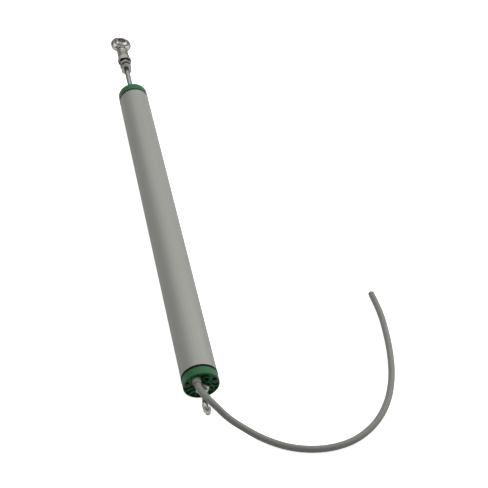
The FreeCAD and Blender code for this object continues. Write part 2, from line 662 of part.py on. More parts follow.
def rod_end_pieces():
    turned("bearing_carrier", "carrier_station", [
        ("bush_diameter / 2 + fit_gap", "0"), ("carrier_diameter / 2", "0"),
        ("carrier_diameter / 2", "carrier_length"), ("bush_diameter / 2 + fit_gap", "carrier_length"),
        ("bush_diameter / 2 + fit_gap", "carrier_length - bush_length"),
        ("bush_diameter / 2 - 0.5", "carrier_length - bush_length"),
        ("bush_diameter / 2 - 0.5", "bush_length"), ("bush_diameter / 2 + fit_gap", "bush_length"),
    ])
    for label, station in (("inner_bush", "carrier_station"),
                           ("outer_bush", "carrier_station + carrier_length - bush_length")):
        turned(label, station, [
            ("rod_diameter / 2 + run_gap", "0"), ("bush_diameter / 2", "0"),
            ("bush_diameter / 2", "bush_length"), ("rod_diameter / 2 + run_gap", "bush_length"),
        ])
    turned("rod_wiper_seal", "front_face - seal_depth", [
        ("rod_diameter / 2 + 0.3", "0"), ("seal_diameter / 2", "0"), ("seal_diameter / 2", "seal_depth"),
        ("rod_diameter / 2 + 1.2", "seal_depth"), ("rod_diameter / 2 + 0.5", "seal_depth + seal_lip"),
        ("rod_diameter / 2 + run_gap + 0.02", "seal_depth + seal_lip"),
    ])
    turned("front_bumper", "carrier_station - bumper_thickness", [
        ("rod_diameter / 2 + 0.6", "0"), ("carrier_diameter / 2 - 0.6", "0"),
        ("carrier_diameter / 2", "bumper_thickness"), ("rod_diameter / 2 + 0.6", "bumper_thickness"),
    ])


def track_pieces():
    blank = block("board_blank", "board_width", "board_length", "board_thickness",
                  "-board_width / 2", "0", "-board_thickness")
    pin_row = [f"{side} * pin_spacing" for side in (-1, 0, 1)]
    holes = []
    pins = []
    for number, x in enumerate(pin_row):
        hole = bar(f"board_hole{number}", "pin_diameter / 2 + fit_gap", "-board_thickness - 1",
                   "board_thickness + 2", x, axis="Z")
        bind(hole, "Placement.Base.y", "pin_station - board_start")
        holes.append(hole)
        pins.append(bar(f"solder_pin{number}", "pin_diameter / 2", "-board_thickness - 0.8",
                        "board_thickness + 2", x, axis="Z"))
    keep(cut("track_board_cut", blank, holes), "track_board", "board_start", z="-board_drop")
    group = doc.addObject("Part::Compound", "solder_pin_group")
    group.Links = pins
    keep(group, "solder_pins", "pin_station", z="-board_drop")
    for label, side in (("resistive_track", -1), ("collector_track", 1)):
        strip = block(label + "_strip", "track_width", "board_length - track_start - track_end",
                      "track_thickness", "0", "0", "0")
        keep(strip, label, "board_start + track_start", f"{side} * track_offset - track_width / 2", "-board_drop")


def slider_pieces():
    blank = bar("carriage_blank", "carriage_diameter / 2", "0", "carriage_length")
    key = block("carriage_key", "key_width", "carriage_length", "key_rise - 4", "-key_width / 2", "0", "4")
    seat = "coupling_ball_diameter / 2 + ball_gap"
    tools = [
        block("carriage_flat", "carriage_diameter", "carriage_length + 2", "carriage_diameter / 2",
              "-carriage_diameter / 2", "-1", "-carriage_drop - carriage_diameter / 2"),
        sphere("carriage_seat", seat, "coupling_back"),
        bar("carriage_throat", seat, "coupling_back", "coupling_nose + 3"),
        bar("carriage_thread", "coupling_ring_diameter / 2", "coupling_back + ring_start", "carriage_length"),
    ]
    keep(cut("carriage_cut", fuse("carriage_solid", [blank, key]), tools), "slider_carriage", "carriage_station")
    ring = fuse("ring_blank", [
        bar("ring_nose", "coupling_ball_diameter / 2", "coupling_slot", "coupling_nose + 1"),
        bar("ring_thread", "coupling_ring_diameter / 2 - fit_gap", "ring_start", "coupling_ring_length"),
    ])
    keep(cut("ring_cut", ring, [sphere("ring_seat", seat), bar("ring_mouth", "coupling_mouth / 2", "0", "30")]),
         "coupling_ring", "ball_station")
    wiper_contacts()


def wiper_contacts():
    # spring plate under the carriage with three fingers for each track
    body = new_body("wiper_contacts")
    top = "-carriage_drop"
    under = "-carriage_drop - contact_thickness"
    plate = sketch_on(body, "XZ_Plane")
    outline(plate, [("-contact_width / 2", under), ("contact_width / 2", under),
                    ("contact_width / 2", top), ("-contact_width / 2", top)])
    raised(body, plate, "contact_length")
    tip = "track_top + finger_lift"
    for side in (-1, 1):
        for step in (-1, 0, 1):
            finger = sketch_on(body, "YZ_Plane", f"{side} * track_offset + {step} * finger_spacing")
            outline(finger, [
                ("contact_length - 0.5", f"{under} + 0.1"), ("contact_length - 2.5", f"{under} + 0.1"),
                ("3", f"{tip} + 0.25"), ("1.6", f"{tip} + 0.7"), ("1.2", f"{tip} + 0.5"), ("3", tip),
            ])
            pad = body.newObject("PartDesign::Pad", "finger_pad")
            pad.Profile = finger
            pad.Midplane = True
            bind(pad, "Length", "finger_width")
    keep(body, "wiper_contacts", "ball_station")


def rod_pieces():
    thread = "rod_thread / 2"
    thread_end = "nut_seat - ball_station + rod_nut_height + collar_bore_depth - 0.5"
    neck_end = "ring_start + coupling_ring_length + 1"
    turned("control_rod", "ball_station", [
        ("0", "-coupling_ball_diameter / 2 + 1"), ("coupling_spigot / 2", "-coupling_ball_diameter / 2 + 1"),
        ("coupling_spigot / 2", "coupling_shoulder"), ("coupling_neck / 2", "coupling_shoulder"),
        ("coupling_neck / 2", neck_end), ("rod_diameter / 2", neck_end),
        ("rod_diameter / 2", "nut_seat - ball_station"), (thread, "nut_seat - ball_station"),
        (thread, f"{thread_end} - 0.6"), (f"{thread} - 0.6", thread_end), ("0", thread_end),
    ])
    ball = sphere("coupling_sphere", "coupling_ball_diameter / 2")
    hole = bar("coupling_hole", "coupling_spigot / 2 + fit_gap", "-10", "20")
    keep(cut("coupling_ball_cut", ball, [hole]), "coupling_ball", "ball_station")
    nut("rod_lock_nut", "nut_seat", "rod_nut_flats", "rod_nut_height", "rod_thread / 2 + fit_gap", "collar_turn")
    body = new_body("eye_adapter")
    collar = sketch_on(body, "XZ_Plane")
    hexagon(collar, "collar_flats", "collar_turn")
    raised(body, collar, "collar_length")
    chamfered(body, "collar_flats", "0", "1")
    chamfered(body, "collar_flats", "collar_length", "-1")
    stud_end = "collar_length + stud_length"
    spun(body, "Revolution", [
        ("0", "collar_length - 0.5"), ("upper_thread / 2", "collar_length - 0.5"),
        ("upper_thread / 2", f"{stud_end} - 0.8"), ("upper_thread / 2 - 0.8", stud_end), ("0", stud_end),
    ])
    bore = sketch_on(body, "XZ_Plane")
    circle(bore, "rod_thread / 2 + fit_gap")
    sunk(body, bore, "collar_bore_depth")
    keep(body, "eye_adapter", "collar_station")
    nut("eye_lock_nut", "eye_nut_station", "upper_nut_flats", "upper_nut_height",
        "upper_thread / 2 + fit_gap", "collar_turn + 6")
    upper_eye_housing()
    eye_race("upper_eye_race", "upper_eye", "upper_race", "upper_race_width", "upper_ball", "upper_roll")
    eye_ball("upper_eye_ball", "upper_eye", "upper_ball", "upper_ball_width", "upper_bore", "upper_roll")


def tube_along(points, radius, name):
    # straight runs joined by tangent arcs, each as large as its two runs allow
    runs = [(b - a).Length for a, b in zip(points, points[1:])]
    edges = []
    length = 0.0
    radii = []
    start = points[0]
    for i in range(1, len(points) - 1):
        back = (points[i - 1] - points[i]).normalize()
        ahead = (points[i + 1] - points[i]).normalize()
        turn = math.pi - back.getAngle(ahead)
        reach = 0.45 * min(runs[i - 1], runs[i])
        bend = reach / math.tan(turn / 2)
        into = points[i] + back * reach
        out = points[i] + ahead * reach
        middle_way = (back + ahead).normalize()
        centre = points[i] + middle_way * (bend / math.cos(turn / 2))
        middle = centre - middle_way * bend
        edges += [Part.LineSegment(start, into).toShape(), Part.Arc(into, middle, out).toShape()]
        length += (into - start).Length + bend * turn
        radii.append(round(bend, 1))
        start = out
    edges.append(Part.LineSegment(start, points[-1]).toShape())
    length += (points[-1] - start).Length
    heading = points[1] - points[0]
    section = Part.Wire(Part.Circle(points[0], heading, radius).toShape())
    solid = Part.Wire(edges).makePipeShell([section], True, True)
    wanted = math.pi * radius ** 2 * length
    print(f"{name}: length {length:.1f}, radii {radii}, volume {solid.Volume / wanted:.5f} of section x length")
    return solid


# The cable from its exit: across, along, and how much of the drop to the surface is left
CABLE_ROUTE = [
    (0, 0, 1), (0, -10.6, 1), (5.2, -23.8, 1.1), (12.8, -35.2, 0.98), (21.1, -43.1, 0.665),
    (32.1, -48, 0.28), (49.1, -60.4, 0), (72.1, -76.2, 0), (100.6, -83.6, 0), (129.1, -80.4, 0),
    (153.6, -65.8, 0), (172.1, -43.8, 0), (185.1, -15.8, 0), (193.1, 15.2, 0), (197.6, 46.2, 0),
    (199.8, 72.7, 0), (198.2, 97.2, 0),
]


def loose(label, shape, station, x, z):
    # a solid worked out in numbers, drawn from its own origin and then placed like the rest
    solid = doc.addObject("Part::Feature", label + "_solid")
    solid.Shape = shape
    keep(solid, label, station, x, z)


def cable_pieces():
    radius = size("cable_radius")
    drop = size("axis_height") + size("cable_rise") - radius
    route = [Vector(x, y, drop * (left - 1)) for x, y, left in CABLE_ROUTE]
    loose("signal_cable", tube_along(route, radius, "signal_cable"), "rear_face", "-cable_left", "cable_rise")
    heading = (route[-1] - route[-2]).normalize()
    sideways = heading.cross(Vector(0, 0, 1)).normalize()
    cores = []
    for number in range(3):
        angle = math.radians(90 + 120 * number)
        offset = (sideways * math.cos(angle) + Vector(0, 0, 1) * math.sin(angle)) * size("core_diameter") * 0.75
        cores.append(Part.makeCylinder(size("core_diameter") / 2, size("core_show"), route[-1] + offset, heading))
    loose("cable_cores", Part.Compound(cores), "rear_face", "-cable_left", "cable_rise")


def lead_wires():
    # three leads from the sheath end, round the left of the end stop and between the rails, to the pins
    wires = []
    exit_x, exit_z = -size("cable_left"), size("cable_rise")
    radius = size("wire_diameter") / 2
    low = radius + 0.1 - size("board_drop")
    start = size("cable_inside")
    pins = size("pin_station") - size("pin_diameter") / 2
    lane = -(size("stop_diameter") / 2 + 4.5)
    rail_side = -(size("rail_inner") - radius - 0.3)
    rail_top = size("rail_lip") - size("board_drop") + radius + 0.3
    for number, pin in enumerate((1, 0, -1)):
        turn_at = start + 2.1 + 1.4 * number
        lead_x = exit_x + 1.7 * (number - 1)
        pin_x = pin * size("pin_spacing")
        wires.append(tube_along([
            Vector(lead_x, start, exit_z), Vector(lead_x, turn_at, exit_z), Vector(lane, turn_at, 0),
            Vector(rail_side, turn_at, rail_top), Vector(pin_x, turn_at, low), Vector(pin_x, pins, low),
        ], radius, f"lead_wire{number}"))
    loose("lead_wires", Part.Compound(wires), "0", "0", "0")


case_tube()
gasket("rear_gasket", "-gasket_thickness", True)
gasket("front_gasket", "tube_length", False)
rear_cap()
front_cap()
cap_screws("rear_cap_screws", "rear_face + recess_depth", 1)
cap_screws("front_cap_screws", "front_face - counterbore_depth", -1)
cable_end_pieces()
rod_end_pieces()
track_pieces()
slider_pieces()
rod_pieces()
cable_pieces()
lead_wires()
doc.recompute()

for item in doc.Objects:
    if "Invalid" in item.State or "Error" in item.State:
        raise RuntimeError(f"{item.Label} did not build: {item.State}")
os.makedirs("parts", exist_ok=True)
for item in nodes:
    if item.Shape.isNull() or not item.Shape.isValid():
        raise RuntimeError(f"{item.Label} has no valid shape")
for item in nodes:
    item.Shape.exportStep(f"parts/{item.Label}.step")
print(f"{len(nodes)} pieces")
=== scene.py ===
import bmesh
import bpy
import math
import numpy as np
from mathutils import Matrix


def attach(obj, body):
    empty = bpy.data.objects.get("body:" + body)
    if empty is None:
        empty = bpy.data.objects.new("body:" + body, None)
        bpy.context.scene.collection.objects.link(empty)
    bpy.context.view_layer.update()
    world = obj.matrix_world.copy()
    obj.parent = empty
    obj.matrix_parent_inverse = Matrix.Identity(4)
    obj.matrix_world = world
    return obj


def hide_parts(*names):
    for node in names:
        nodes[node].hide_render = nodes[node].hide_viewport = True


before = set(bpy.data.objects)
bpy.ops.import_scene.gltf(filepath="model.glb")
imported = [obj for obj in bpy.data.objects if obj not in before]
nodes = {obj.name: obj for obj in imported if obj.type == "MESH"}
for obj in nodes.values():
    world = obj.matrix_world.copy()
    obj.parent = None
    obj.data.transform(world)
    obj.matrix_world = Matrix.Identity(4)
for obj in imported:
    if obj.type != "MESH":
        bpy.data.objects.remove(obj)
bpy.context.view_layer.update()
mm = 0.001
axisHeight = 17.5 * mm
mergeDistance = 0.001 * mm


def linear(hexColour):
    # sRGB hex to the linear colour that a shader takes
    parts = [int(hexColour[i:i + 2], 16) / 255 for i in (0, 2, 4)]
    return [c / 12.92 if c <= 0.04045 else ((c + 0.055) / 1.055) ** 2.4 for c in parts] + [1.0]


def addNode(tree, kind, settings=None, links=None):
    # one node, its own settings, and values or links for its sockets
    node = tree.nodes.new(kind)
    for name, value in (settings or {}).items():
        setattr(node, name, value)
    for socket, value in (links or {}).items():
        if hasattr(value, "is_output"):
            tree.links.new(value, node.inputs[socket])
        else:
            node.inputs[socket].default_value = value
    return node


def finish(name):
    # empty material with object coordinates; its output comes in closeFinish
    material = bpy.data.materials.new(name)
    material.use_nodes = True
    tree = material.node_tree
    tree.nodes.clear()
    place = addNode(tree, "ShaderNodeTexCoord").outputs["Object"]
    return material, tree, place


def closeFinish(tree, shader):
    addNode(tree, "ShaderNodeOutputMaterial", links={"Surface": shader})


# ---- camera, matched to the photograph's view
camera = {
    "place": (-98.31 * mm, -943.96 * mm, 801.86 * mm),
    "down": 42.47,      # degrees below the horizon
    "right": 11.91,     # degrees turned towards +X
    "lens": 81.22,
}
cameraData = bpy.data.cameras.new("photoCamera")
cameraData.lens = camera["lens"]
cameraData.sensor_width = 36
photoCamera = bpy.data.objects.new("photoCamera", cameraData)
photoCamera.location = camera["place"]
photoCamera.rotation_euler = (math.radians(90 - camera["down"]), 0, math.radians(-camera["right"]))
bpy.context.scene.collection.objects.link(photoCamera)
bpy.context.scene.camera = photoCamera
bpy.context.scene.view_settings.view_transform = "Standard"
print("camera placed")

# ---- lamps and surroundings
lamps = {
    "key": {"place": (1.75, 0.3, 1.3), "aim": (0, -0.05, 0), "size": 3.0, "power": 31},
    "glint": {"place": (1.5, 0.35, 1.5), "aim": (0, 0, 0), "size": 0.3, "power": 2.5},
    "top": {"place": (0.1, 1.0, 1.9), "aim": (0, 0, 0), "size": 2.2, "power": 14},
    "left": {"place": (-1.6, 0.2, 1.1), "aim": (0, -0.1, 0), "size": 1.6, "power": 7},
}
surroundings = {
    "fill": "dcdedf",
    "fillStrength": 0.34,
    "bright": (0.42, 0.3, 0.86),    # way to the brightest part of what a gloss sees
    "reach": (-0.25, 0.95),         # how far round from that way it is darkest and brightest
    "least": 0.1,
    "most": 0.95,
}


def addLamp(name, values):
    light = bpy.data.lights.new(name, "AREA")
    light.shape = "DISK"
    light.size = values["size"]
    light.energy = values["power"]
    lamp = bpy.data.objects.new(name, light)
    away = np.array(values["place"], float) - np.array(values["aim"], float)
    flat = math.hypot(away[0], away[1])
    lamp.location = values["place"]
    lamp.rotation_euler = (math.atan2(flat, away[2]), 0, math.atan2(away[0], -away[1]))
    bpy.context.scene.collection.objects.link(lamp)


for lampName, lampValues in lamps.items():
    addLamp(lampName + "Lamp", lampValues)

world = bpy.data.worlds.new("studioAir")
bpy.context.scene.world = world
world.use_nodes = True
world.node_tree.nodes.clear()
air = world.node_tree


def backdropRays(tree):
    # 1 for the rays that see the backdrop straight or through glass, and 1 for those that see it in a gloss
    path = addNode(tree, "ShaderNodeLightPath")
    either = addNode(tree, "ShaderNodeMath", {"operation": "MAXIMUM"}, {
        0: path.outputs["Is Camera Ray"], 1: path.outputs["Is Transmission Ray"]})
    return either.outputs[0], path.outputs["Is Glossy Ray"]


straight, gloss = backdropRays(air)
fill = addNode(air, "ShaderNodeBackground", links={
    "Color": linear(surroundings["fill"]), "Strength": surroundings["fillStrength"]})
# what a gloss sees of the backdrop: white above and to the right, dark down at the camera's side
skyward = addNode(air, "ShaderNodeTexCoord").outputs["Generated"]
facing = addNode(air, "ShaderNodeVectorMath", {"operation": "DOT_PRODUCT"}, {0: skyward, 1: surroundings["bright"]})
strength = addNode(air, "ShaderNodeMapRange", {"interpolation_type": "SMOOTHSTEP"}, {
    "Value": facing.outputs["Value"], "From Min": surroundings["reach"][0], "From Max": surroundings["reach"][1],
    "To Min": surroundings["least"], "To Max": surroundings["most"]})
pale = addNode(air, "ShaderNodeBackground", links={"Color": (1, 1, 1, 1), "Strength": strength.outputs[0]})
white = addNode(air, "ShaderNodeBackground", links={"Color": (1, 1, 1, 1), "Strength": 1.0})
mixGloss = addNode(air, "ShaderNodeMixShader", links={0: gloss, 1: fill.outputs[0], 2: pale.outputs[0]})
mixAir = addNode(air, "ShaderNodeMixShader", links={0: straight, 1: mixGloss.outputs[0], 2: white.outputs[0]})
addNode(air, "ShaderNodeOutputWorld", links={"Surface": mixAir.outputs[0]})

# ---- floor: plain pale paper, seen white by the camera with the object's soft shadow kept
floor = {"half": 4.0, "colour": "f4f4f3", "glow": 0.8, "glowInGloss": 0.3}
corners = np.array([(-1, -1, 0), (1, -1, 0), (1, 1, 0), (-1, 1, 0)], float) * floor["half"]
floorMesh = bpy.data.meshes.new("paperFloor")
floorMesh.from_pydata(corners.tolist(), [], [(0, 1, 2, 3)])
paperFloor = bpy.data.objects.new("paperFloor", floorMesh)
bpy.context.scene.collection.objects.link(paperFloor)
paper, paperTree, paperPlace = finish("mattPaper")
paperShade = addNode(paperTree, "ShaderNodeBsdfDiffuse", links={"Color": linear(floor["colour"])})
paperGlow = addNode(paperTree, "ShaderNodeEmission", links={"Color": (1, 1, 1, 1), "Strength": floor["glow"]})
paperBoth = addNode(paperTree, "ShaderNodeAddShader", links={0: paperShade.outputs[0], 1: paperGlow.outputs[0]})
paperStraight, paperGloss = backdropRays(paperTree)
paperInGloss = addNode(paperTree, "ShaderNodeMath", {"operation": "MULTIPLY"}, {
    0: paperGloss, 1: floor["glowInGloss"]})
paperShare = addNode(paperTree, "ShaderNodeMath", {"operation": "MAXIMUM"}, {
    0: paperStraight, 1: paperInGloss.outputs[0]})
paperMix = addNode(paperTree, "ShaderNodeMixShader", links={
    0: paperShare.outputs[0], 1: paperShade.outputs[0], 2: paperBoth.outputs[0]})
closeFinish(paperTree, paperMix.outputs[0])
floorMesh.materials.append(paper)
print("light and floor ready")


# ---- finishes
def anodisedAluminium():
    # drawn tube, matt natural anodised: a grey film, faint draw lines along it, and a painted highlight along each end
    values = {
        "colour": "92938d", "pale": "9a9b95", "bare": "c9cac6", "slant": "8c8c8c", "rough": 0.48, "metal": 0.3,
        "linePitch": 1.2, "lineStretch": 6, "grain": 0.4, "grainDepth": 0.06,
        "ends": (-276.5, 176.5), "cut": 0.45,
    }
    material, tree, place = finish("anodisedAluminium")
    stretch = addNode(tree, "ShaderNodeMapping", links={
        "Vector": place, "Scale": (1000 / values["linePitch"], values["lineStretch"], 1000 / values["linePitch"])})
    lines = addNode(tree, "ShaderNodeTexNoise", links={"Vector": stretch.outputs[0], "Scale": 1.0, "Detail": 2.0})
    tint = addNode(tree, "ShaderNodeMix", {"data_type": "RGBA"}, {
        "Factor": lines.outputs["Fac"], "A": linear(values["colour"]), "B": linear(values["pale"])})
    middle = (values["ends"][0] + values["ends"][1]) / 2 * mm
    reach = (values["ends"][1] - values["ends"][0]) / 2 * mm - values["cut"] * mm
    parts = addNode(tree, "ShaderNodeSeparateXYZ", links={0: place})
    fromMiddle = addNode(tree, "ShaderNodeMath", {"operation": "SUBTRACT"}, {0: parts.outputs["Y"], 1: middle})
    away = addNode(tree, "ShaderNodeMath", {"operation": "ABSOLUTE"}, {0: fromMiddle.outputs[0]})
    # painted highlight: a light band within cut of each end of the tube
    cutEnd = addNode(tree, "ShaderNodeMath", {"operation": "GREATER_THAN"}, {0: away.outputs[0], 1: reach})
    tintAndHighlight = addNode(tree, "ShaderNodeMix", {"data_type": "RGBA"}, {
        "Factor": cutEnd.outputs[0], "A": tint.outputs["Result"], "B": linear(values["bare"])})
    grain = addNode(tree, "ShaderNodeTexNoise", links={
        "Vector": place, "Scale": 1000 / values["grain"], "Detail": 1.0})
    bump = addNode(tree, "ShaderNodeBump", links={
        "Height": grain.outputs["Fac"], "Strength": values["grainDepth"], "Distance": 0.2 * mm})
    shader = addNode(tree, "ShaderNodeBsdfPrincipled", links={
        "Base Color": tintAndHighlight.outputs["Result"], "Metallic": values["metal"], "Roughness": values["rough"],
        "Specular Tint": linear(values["slant"]), "Normal": bump.outputs[0]})
    closeFinish(tree, shader.outputs[0])
    return material


cloudScale = {"plastic": 90.0, "metal": 260.0}    # clouds in the colour, 11 mm and 4 mm across


def mouldedPlastic(name, colour, pale, rough, grainSize=0.6, depth=0.05, level=0.5):
    # moulded plastic or rubber: even colour, slight flow clouds, fine spark-eroded grain, grain size in mm
    material, tree, place = finish(name)
    cloud = addNode(tree, "ShaderNodeTexNoise", links={"Vector": place, "Scale": cloudScale["plastic"], "Detail": 2.0})
    tint = addNode(tree, "ShaderNodeMix", {"data_type": "RGBA"}, {
        "Factor": cloud.outputs["Fac"], "A": linear(colour), "B": linear(pale)})
    grain = addNode(tree, "ShaderNodeTexNoise", links={"Vector": place, "Scale": 1000 / grainSize, "Detail": 1.0})
    bump = addNode(tree, "ShaderNodeBump", links={
        "Height": grain.outputs["Fac"], "Strength": depth, "Distance": 0.2 * mm})
    shader = addNode(tree, "ShaderNodeBsdfPrincipled", links={
        "Base Color": tint.outputs["Result"], "Roughness": rough, "Specular IOR Level": level,
        "Normal": bump.outputs[0]})
    closeFinish(tree, shader.outputs[0])
    return material


# joints of the rod end along the axis, and how dark the painted shade between its parts is at each
paintedJointShade = {"start": 240.0, "end": 280.0, "colour": "0b0b0a",
       "stops": [(245.9, 0.0), (246.0, 0.5), (246.3, 0.0), (253.5, 0.0), (253.8, 0.9), (255.9, 0.95), (256.3, 0.0),
                 (261.0, 0.0), (261.3, 0.9), (264.2, 0.95), (264.6, 0.0)]}


def paintedShadeAtJoints(tree, place):
    # share of painted shade by the place along the axis, dark where the rod end's parts meet
    along = addNode(tree, "ShaderNodeSeparateXYZ", links={0: place}).outputs["Y"]
    part = addNode(tree, "ShaderNodeMapRange", links={
        "Value": along, "From Min": paintedJointShade["start"] * mm, "From Max": paintedJointShade["end"] * mm})
    ramp = addNode(tree, "ShaderNodeValToRGB", links={0: part.outputs[0]})
    stops = ramp.color_ramp.elements
    for index, (station, share) in enumerate(paintedJointShade["stops"]):
        position = (station - paintedJointShade["start"]) / (paintedJointShade["end"] - paintedJointShade["start"])
        stop = stops[index] if index < 2 else stops.new(position)
        stop.position = position
        stop.color = (share, share, share, 1)
    return ramp.outputs["Color"]


turned = {"slant": "7a7a7a", "across": 60, "ringDepth": 0.08}


def turnedMetal(name, colour, pale, rough, rings=0.5, withJointShade=False):
    # turned metal: clouded surface, fine tool rings round the case axis, their pitch in mm, dull at a slant, with
    # painted shade at the rod end's joints if asked
    material, tree, place = finish(name)
    cloud = addNode(tree, "ShaderNodeTexNoise", links={"Vector": place, "Scale": cloudScale["metal"], "Detail": 3.0})
    tint = addNode(tree, "ShaderNodeMix", {"data_type": "RGBA"}, {
        "Factor": cloud.outputs["Fac"], "A": linear(colour), "B": linear(pale)})
    shown = tint.outputs["Result"]
    # painted shade at the joints of the rod end: the colour goes dark in bands by place along the axis
    if withJointShade:
        shown = addNode(tree, "ShaderNodeMix", {"data_type": "RGBA"}, {
            "Factor": paintedShadeAtJoints(tree, place), "A": shown, "B": linear(paintedJointShade["colour"])}).outputs["Result"]
    turning = addNode(tree, "ShaderNodeMapping", links={
        "Vector": place, "Scale": (turned["across"], 1000 / rings, turned["across"])})
    tool = addNode(tree, "ShaderNodeTexNoise", links={"Vector": turning.outputs[0], "Scale": 1.0, "Detail": 1.0})
    bump = addNode(tree, "ShaderNodeBump", links={
        "Height": tool.outputs["Fac"], "Strength": turned["ringDepth"], "Distance": 0.1 * mm})
    shader = addNode(tree, "ShaderNodeBsdfPrincipled", links={
        "Base Color": shown, "Metallic": 1.0, "Roughness": rough,
        "Specular Tint": linear(turned["slant"]), "Normal": bump.outputs[0]})
    closeFinish(tree, shader.outputs[0])
    return material


finishes = {
    "tube": anodisedAluminium(),
    "green": mouldedPlastic("greenNylon", "14542a", "1c6034", 0.5, level=0.3),
    "rubber": mouldedPlastic("blackRubber", "060606", "0a0a09", 0.8, level=0.15),
    "stainless": turnedMetal("groundStainless", "a8a7a5", "b2b1af", 0.2),
    "plated": turnedMetal("zincPlatedSteel", "a9a8a1", "b6b5ad", 0.2),
    # plated rod end with painted shade at its joints
    "platedWithJointShade": turnedMetal("platedRodEndPaintedShade", "a9a8a1", "b6b5ad", 0.2, withJointShade=True),
    "oxide": turnedMetal("blackOxideSteel", "4a4a47", "565652", 0.18),
    "race": turnedMetal("hardenedRace", "7c7a76", "86847f", 0.3),
    "bronze": turnedMetal("sinteredBronze", "8c7448", "9b8355", 0.4),
    "brass": turnedMetal("machinedBrass", "b39a58", "c4ab69", 0.3),
    "core": mouldedPlastic("coreInsulation", "6d4a30", "75523a", 0.45),
    "carriage": mouldedPlastic("mouldedAcetal", "232325", "2a2a2c", 0.4),
    "laminate": mouldedPlastic("glassLaminate", "53663a", "5d7042", 0.4),
    "track": mouldedPlastic("conductivePlastic", "141414", "1a1a1a", 0.3),
    "spring": turnedMetal("springBronze", "b59a66", "c4aa77", 0.28),
    "sheath": mouldedPlastic("pvcSheath", "757570", "7f7f7a", 0.5, 1.5, 0.08),
}

dressed = {
    "tube": ["case_tube"],
    "green": ["front_cap", "rear_cap"],
    "rubber": ["front_gasket", "rear_gasket", "rod_wiper_seal", "front_bumper", "rear_stop"],
    "stainless": ["control_rod", "upper_eye_ball", "lower_eye_ball", "coupling_ball"],
    "plated": ["rear_insert", "lower_lock_nut", "lower_eye_housing", "rod_lock_nut", "eye_adapter", "eye_lock_nut",
               "upper_eye_housing"],
    "oxide": ["front_cap_screws", "rear_cap_screws"],
    "race": ["upper_eye_race", "lower_eye_race"],
    "bronze": ["inner_bush", "outer_bush"],
    "brass": ["bearing_carrier", "coupling_ring", "cable_ferrule"],
    "core": ["lead_wires", "cable_cores"],
    "carriage": ["slider_carriage"],
    "laminate": ["track_board"],
    "track": ["resistive_track", "collector_track"],
    "spring": ["solder_pins", "wiper_contacts"],
    "sheath": ["cable_tail", "cable_grommet"],
}


def dress(obj, material):
    obj.data.materials.clear()
    obj.data.materials.append(material)


for finishName, names in dressed.items():
    for nodeName in names:
        dress(nodes[nodeName], finishes[finishName])
print("finishes on")

# ---- rod end: copies of the solids drawn in to the photograph's slimmer rod and eye, with seal and bushes fitted to the rod, gaskets pressed out and the small eye's shank slimmed
rodEnd = {
    "centre": 307.0,                                # eye centre along the axis
    "roll": 14.0,                                   # eye turned about the axis
    "neckStations": (264, 272, 276, 281, 300),      # along the axis, from the base to the head
    "neckScales": (0.87, 0.87, 0.9, 0.87, 0.87),
    "baseTurn": 16.0,                               # base turned about the axis
    "turnFades": (275, 278),                        # where that turn fades out
    "headBlend": (289, 297),                        # where the neck runs into the head
    "seat": 11.02,                                  # race seat, which keeps its size
    "head": (14.0, 13.2),                           # outside of the eye: solid, photograph
    "rim": 0.78,                                    # thickness left at the outside of the ring
    "rimBlend": (11.32, 13.4),                      # where the ring thins, from the pin outwards
    "rod": (4.0, 3.0),                              # radius: solid, photograph
    "slimFrom": -215,                               # the rod is slim from here on
    "sealOutside": 6.5,
    "bushOutside": 5.0,
}
gasket = {"edge": 16.0, "bead": 17.62, "spread": 0.25}
lowerShank = {"from": -305, "radius": 2.6, "slim": 0.84}


def around(points, radii, angles):
    # points given by their distance and angle round the case axis, keeping their place along it
    result = points.copy()
    result[:, 0] = radii * np.cos(angles)
    result[:, 2] = axisHeight + radii * np.sin(angles)
    return result


def polar(points):
    x, z = points[:, 0], points[:, 2] - axisHeight
    return np.hypot(x, z), np.arctan2(z, x)


def redrawn(nodeName, name, change, body, finishName):
    # a copy of a solid's mesh with its points moved by one formula and its doubles merged
    source = nodes[nodeName]
    mesh = source.data.copy()
    mesh.name = name
    points = np.empty(len(mesh.vertices) * 3)
    mesh.vertices.foreach_get("co", points)
    mesh.vertices.foreach_set("co", change(points.reshape(-1, 3)).ravel())
    shape = bmesh.new()
    shape.from_mesh(mesh)
    bmesh.ops.remove_doubles(shape, verts=shape.verts, dist=mergeDistance)
    shape.to_mesh(mesh)
    shape.free()
    piece = bpy.data.objects.new(name, mesh)
    bpy.context.scene.collection.objects.link(piece)
    dress(piece, finishes[finishName])
    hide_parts(nodeName)
    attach(piece, body)
    return piece


def eyeHousing(points):
    # base and neck scaled towards the axis by station, and the ring drawn in round the pin
    radii, angles = polar(points)
    along = points[:, 1] / mm
    scale = np.interp(along, rodEnd["neckStations"], rodEnd["neckScales"])
    turn = np.interp(along, rodEnd["turnFades"], (math.radians(rodEnd["baseTurn"]), 0))
    neck = around(points, radii * scale, angles + turn)
    roll = math.radians(rodEnd["roll"])
    across = radii * np.cos(angles + roll) / mm
    proud = radii * np.sin(angles + roll)
    ahead = along - rodEnd["centre"]
    outward = np.hypot(across, ahead)
    proud = proud * np.interp(outward, rodEnd["rimBlend"], (1, rodEnd["rim"]))
    ratio = np.interp(outward, (0, rodEnd["seat"], rodEnd["head"][0]),
                      (0, rodEnd["seat"], rodEnd["head"][1])) / np.maximum(outward, 1e-6)
    ratio = np.where(outward > rodEnd["head"][0], rodEnd["head"][1] / rodEnd["head"][0], ratio)
    across, ahead = across * ratio * mm, ahead * ratio
    head = around(points, np.hypot(across, proud), np.arctan2(proud, across) - roll)
    head[:, 1] = (rodEnd["centre"] + ahead) * mm
    low, high = rodEnd["headBlend"]
    share = np.clip((along - low) / (high - low), 0, 1)[:, None]
    return neck * (1 - share) + head * share


def slimRod(points):
    # rod drawn in to the photograph's diameter, apart from its ball at the inner end
    radii, angles = polar(points)
    along = points[:, 1] / mm
    slim = rodEnd["rod"][1] / rodEnd["rod"][0]
    return around(points, radii * np.where(along < rodEnd["slimFrom"], 1.0, slim), angles)


